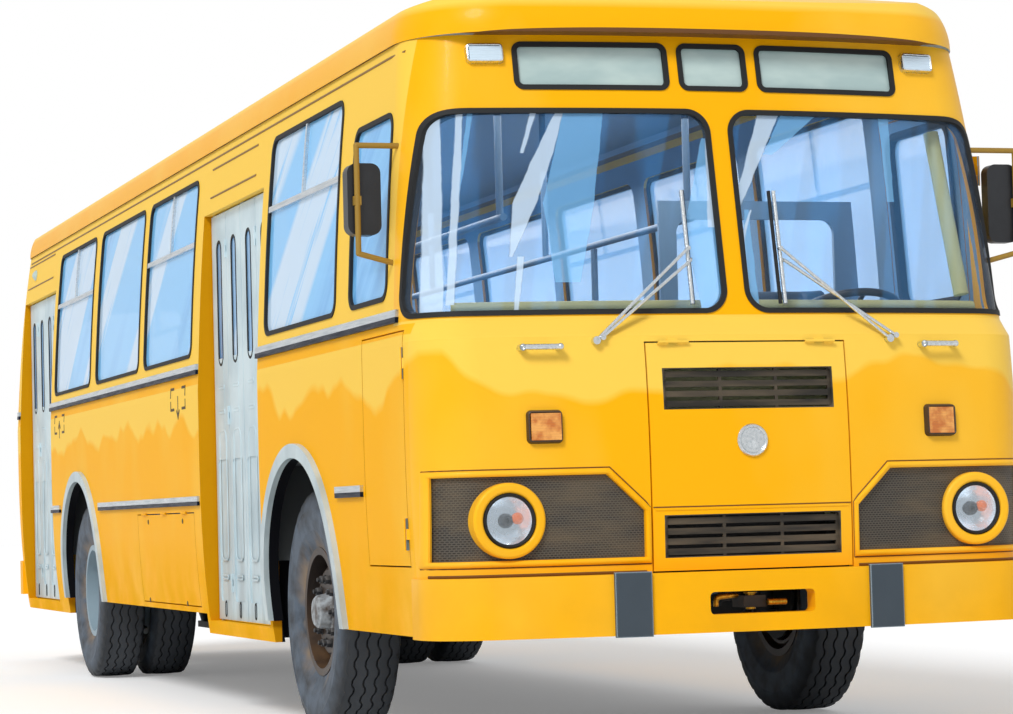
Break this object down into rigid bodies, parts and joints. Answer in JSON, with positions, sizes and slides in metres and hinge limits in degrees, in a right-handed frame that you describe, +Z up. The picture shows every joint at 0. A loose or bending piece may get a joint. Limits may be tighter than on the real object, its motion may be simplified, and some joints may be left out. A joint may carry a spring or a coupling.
{
  "type": "city bus",
  "caption": "Full-size city bus with folding passenger doors, driver's door, front engine under a hood, steered front axle and twin rear wheels.",
  "frame": {"origin": "centre of the bounding box on the road under the bus", "axes": "+Z up, -Y forward along the bus, +X towards its left side"},
  "size_m": [2.784, 10.5, 3],
  "materials": {
    "body_paint": "gloss amber enamel",
    "door_paint": "satin pale blue-grey enamel",
    "trim_paint": "pale grey enamel",
    "bright_trim": "polished",
    "chassis_paint": "satin black",
    "wheel_paint": "satin dark brown-black",
    "tyre_rubber": "matte",
    "seal_rubber": "matte",
    "guard_rubber": "satin",
    "glass": "blue tinted",
    "sign_glass": "pale grey-green, backed",
    "lamp_glass": "lenses",
    "headlamp_glass": "clear",
    "grille_metal": "dark grey mesh",
    "chrome": "polished",
    "mirror_plastic": "black",
    "seat_vinyl": "brown vinyl",
    "cab_paint": "satin",
    "floor_sheet": "ribbed grey",
    "steel": "dull"
  },
  "bodies": {
    "body": {"right_side": "body_paint", "left_side": "body_paint", "front_panel": "body_paint", "lamp_grilles": "grille_metal", "headlamp_bezels": "body_paint", "headlamp_lenses": "headlamp_glass", "small_lamps": "lamp_glass", "windscreen_frame": "body_paint", "rear_wall": "body_paint", "window_seals": "seal_rubber", "window_glass": "glass", "screen_glass": "glass", "sign_glass": "sign_glass", "bright_trim": "bright_trim", "roof": "body_paint", "arch_trims": "trim_paint", "bumpers": "body_paint", "bumper_guards": "guard_rubber", "floor": "floor_sheet", "chassis": "chassis_paint", "drivetrain": "steel", "front_axle": "chassis_paint", "rear_axle": "chassis_paint", "air_springs": "guard_rubber", "underbody": "chassis_paint", "seat_pads": "seat_vinyl", "seat_frames": "chrome", "cab_fittings": "cab_paint", "steering_wheel": "mirror_plastic", "handrails": "chrome", "wipers": "chrome", "grab_handles": "chrome", "mirror_arms": "body_paint", "mirror_heads": "mirror_plastic"},
    "hood": {"hood": "body_paint"},
    "front_hatch": {"front_hatch": "body_paint"},
    "side_flap": {"side_flap": "body_paint"},
    "driver_door": {"driver_door": "body_paint"},
    "tie_rod": {"tie_rod": "steel"},
    "knuckle_left": {"knuckle_left": "chassis_paint"},
    "front_wheel_left": {"front_wheel_left": "wheel_paint", "front_tyre_left": "tyre_rubber"},
    "rear_wheels_left": {"rear_wheel_left": "wheel_paint", "rear_tyres_left": "tyre_rubber"},
    "knuckle_right": {"knuckle_right": "chassis_paint"},
    "front_wheel_right": {"front_wheel_right": "wheel_paint", "front_tyre_right": "tyre_rubber"},
    "rear_wheels_right": {"rear_wheel_right": "wheel_paint", "rear_tyres_right": "tyre_rubber"},
    "front_door_leaf_1": {"front_door_leaf_1": "door_paint"},
    "front_door_leaf_2": {"front_door_leaf_2": "door_paint"},
    "front_door_leaf_3": {"front_door_leaf_3": "door_paint"},
    "front_door_leaf_4": {"front_door_leaf_4": "door_paint"},
    "rear_door_leaf_1": {"rear_door_leaf_1": "door_paint"},
    "rear_door_leaf_2": {"rear_door_leaf_2": "door_paint"},
    "rear_door_leaf_3": {"rear_door_leaf_3": "door_paint"},
    "rear_door_leaf_4": {"rear_door_leaf_4": "door_paint"}
  },
  "joints": [
    {"name": "front_door_open", "type": "hinge", "parent": "body", "child": "front_door_leaf_1", "pos_m": [-1.15, -2.361, 1.432], "axis": [0, 0, -1], "range_deg": [0, 88]},
    {"name": "front_door_fold_2", "type": "hinge", "parent": "front_door_leaf_1", "child": "front_door_leaf_2", "pos_m": [-1.17, -2.059, 1.432], "axis": [0, 0, 1], "range_deg": [0, 176]},
    {"name": "front_door_open_4", "type": "hinge", "parent": "body", "child": "front_door_leaf_4", "pos_m": [-1.15, -1.115, 1.432], "axis": [0, 0, 1], "range_deg": [0, 88]},
    {"name": "front_door_fold_3", "type": "hinge", "parent": "front_door_leaf_4", "child": "front_door_leaf_3", "pos_m": [-1.17, -1.417, 1.432], "axis": [0, 0, -1], "range_deg": [0, 176]},
    {"name": "rear_door_open", "type": "hinge", "parent": "body", "child": "rear_door_leaf_1", "pos_m": [-1.15, 3.519, 1.432], "axis": [0, 0, -1], "range_deg": [0, 88]},
    {"name": "rear_door_fold_2", "type": "hinge", "parent": "rear_door_leaf_1", "child": "rear_door_leaf_2", "pos_m": [-1.17, 3.821, 1.432], "axis": [0, 0, 1], "range_deg": [0, 176]},
    {"name": "rear_door_open_4", "type": "hinge", "parent": "body", "child": "rear_door_leaf_4", "pos_m": [-1.15, 4.765, 1.432], "axis": [0, 0, 1], "range_deg": [0, 88]},
    {"name": "rear_door_fold_3", "type": "hinge", "parent": "rear_door_leaf_4", "child": "rear_door_leaf_3", "pos_m": [-1.17, 4.463, 1.432], "axis": [0, 0, -1], "range_deg": [0, 176]},
    {"name": "hood_lift", "type": "hinge", "parent": "body", "child": "hood", "pos_m": [0, -5.1684, 1.544], "axis": [-1, 0, 0], "range_deg": [0, 75]},
    {"name": "hatch_swing", "type": "hinge", "parent": "body", "child": "front_hatch", "pos_m": [-1.2566, -4.813, 1.172], "axis": [0, 0, 1], "range_deg": [0, 100]},
    {"name": "driver_door_swing", "type": "hinge", "parent": "body", "child": "driver_door", "pos_m": [1.257, -4.647, 1.55], "axis": [0, 0, -1], "range_deg": [0, 80]},
    {"name": "flap_lift", "type": "hinge", "parent": "body", "child": "side_flap", "pos_m": [-1.2535, -0.165, 0.965], "axis": [0, 1, 0], "range_deg": [0, 95]},
    {"name": "steer_left", "type": "hinge", "parent": "body", "child": "knuckle_left", "pos_m": [0.9, -3.09, 0.52], "axis": [0, 0, 1], "range_deg": [-35, 35]},
    {"name": "wheel_front_left", "type": "hinge", "parent": "knuckle_left", "child": "front_wheel_left", "pos_m": [1.0575, -3.09, 0.52], "axis": [1, 0, 0], "continuous": true},
    {"name": "wheels_rear_left", "type": "hinge", "parent": "body", "child": "rear_wheels_left", "pos_m": [0.92, 2.45, 0.52], "axis": [1, 0, 0], "continuous": true},
    {"name": "steer_right", "type": "hinge", "parent": "body", "child": "knuckle_right", "pos_m": [-0.9, -3.09, 0.52], "axis": [0, 0, 1], "range_deg": [-35, 35]},
    {"name": "wheel_front_right", "type": "hinge", "parent": "knuckle_right", "child": "front_wheel_right", "pos_m": [-1.0575, -3.09, 0.52], "axis": [1, 0, 0], "continuous": true},
    {"name": "wheels_rear_right", "type": "hinge", "parent": "body", "child": "rear_wheels_right", "pos_m": [-0.92, 2.45, 0.52], "axis": [1, 0, 0], "continuous": true},
    {"name": "tie_rod_pin", "type": "hinge", "parent": "knuckle_left", "child": "tie_rod", "pos_m": [0.9, -2.88, 0.42], "axis": [0, 0, 1], "range_deg": [-35, 35]}
  ],
  "couplings": [
    {"joint": "front_door_fold_2", "follows": "front_door_open", "ratio": 2},
    {"joint": "front_door_open_4", "follows": "front_door_open", "ratio": 1},
    {"joint": "front_door_fold_3", "follows": "front_door_open", "ratio": 2},
    {"joint": "rear_door_fold_2", "follows": "rear_door_open", "ratio": 2},
    {"joint": "rear_door_open_4", "follows": "rear_door_open", "ratio": 1},
    {"joint": "rear_door_fold_3", "follows": "rear_door_open", "ratio": 2},
    {"joint": "steer_right", "follows": "steer_left", "ratio": 1},
    {"joint": "tie_rod_pin", "follows": "steer_left", "ratio": -1}
  ]
}
